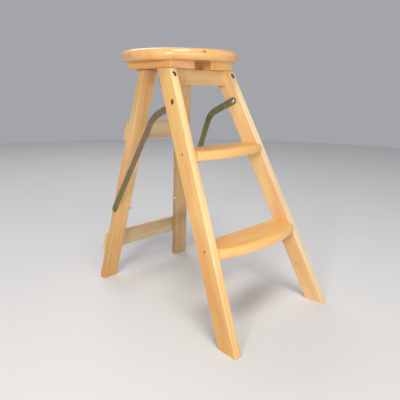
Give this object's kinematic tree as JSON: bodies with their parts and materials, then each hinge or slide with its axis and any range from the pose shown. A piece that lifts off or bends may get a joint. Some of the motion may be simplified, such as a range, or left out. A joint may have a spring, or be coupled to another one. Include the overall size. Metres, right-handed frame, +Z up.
{
  "type": "folding step stool",
  "caption": "Folding wooden step stool: round seat hinged on two splayed frames, the front one with bowed treads, the rear one with slats, tied by bent steel stays.",
  "frame": {"origin": "on the floor, under the middle of the bounding box", "axes": "+Z up, -Y towards the side with the treads, +X to the right seen from there"},
  "size_m": [0.361, 0.5376, 0.62],
  "materials": {
    "bright_steel": "bright",
    "dark_steel": "dark oxide",
    "frame_wood": "clear varnish",
    "hinge_steel": "zinc plated",
    "seat_wood": "clear varnish",
    "stay_steel": "olive passivated steel"
  },
  "bodies": {
    "front_frame": {"left_front_rail": "frame_wood", "right_front_rail": "frame_wood", "front_apron": "frame_wood", "middle_tread": "frame_wood", "lower_tread": "frame_wood", "left_rail_hinge_leaf": "hinge_steel", "right_rail_hinge_leaf": "hinge_steel", "stay_bolts": "bright_steel", "stay_bolt_nuts": "dark_steel"},
    "seat": {"seat_top": "seat_wood", "left_cleat": "frame_wood", "right_cleat": "frame_wood", "front_cleat_leaves": "hinge_steel", "rear_cleat_leaves": "hinge_steel", "front_hinge_pins": "hinge_steel", "rear_hinge_pins": "hinge_steel"},
    "rear_frame": {"left_rear_leg": "frame_wood", "right_rear_leg": "frame_wood", "upper_rear_slat": "frame_wood", "lower_rear_slat": "frame_wood", "left_leg_hinge_leaf": "hinge_steel", "right_leg_hinge_leaf": "hinge_steel"},
    "left_stay": {"left_stay": "stay_steel", "left_stay_rivet": "bright_steel"},
    "right_stay": {"right_stay": "stay_steel", "right_stay_rivet": "bright_steel"}
  },
  "joints": [
    {"name": "seat_fold", "type": "hinge", "parent": "front_frame", "child": "seat", "pos_m": [0, 0.06461, 0.5745], "axis": [-1, 0, 0], "range_deg": [0, 91]},
    {"name": "rear_fold", "type": "hinge", "parent": "seat", "child": "rear_frame", "pos_m": [0, 0.1654, 0.5745], "axis": [1, 0, 0], "range_deg": [0, 53]},
    {"name": "left_stay_turn", "type": "hinge", "parent": "front_frame", "child": "left_stay", "pos_m": [0, -0.00393, 0.50204], "axis": [-1, 0, 0], "range_deg": [0, 56]},
    {"name": "right_stay_turn", "type": "hinge", "parent": "front_frame", "child": "right_stay", "pos_m": [0, -0.00393, 0.50204], "axis": [-1, 0, 0], "range_deg": [0, 56]}
  ],
  "couplings": [
    {"joint": "rear_fold", "follows": "seat_fold", "ratio": 0.58109},
    {"joint": "left_stay_turn", "follows": "seat_fold", "ratio": 0.61315},
    {"joint": "right_stay_turn", "follows": "seat_fold", "ratio": 0.61315}
  ]
}
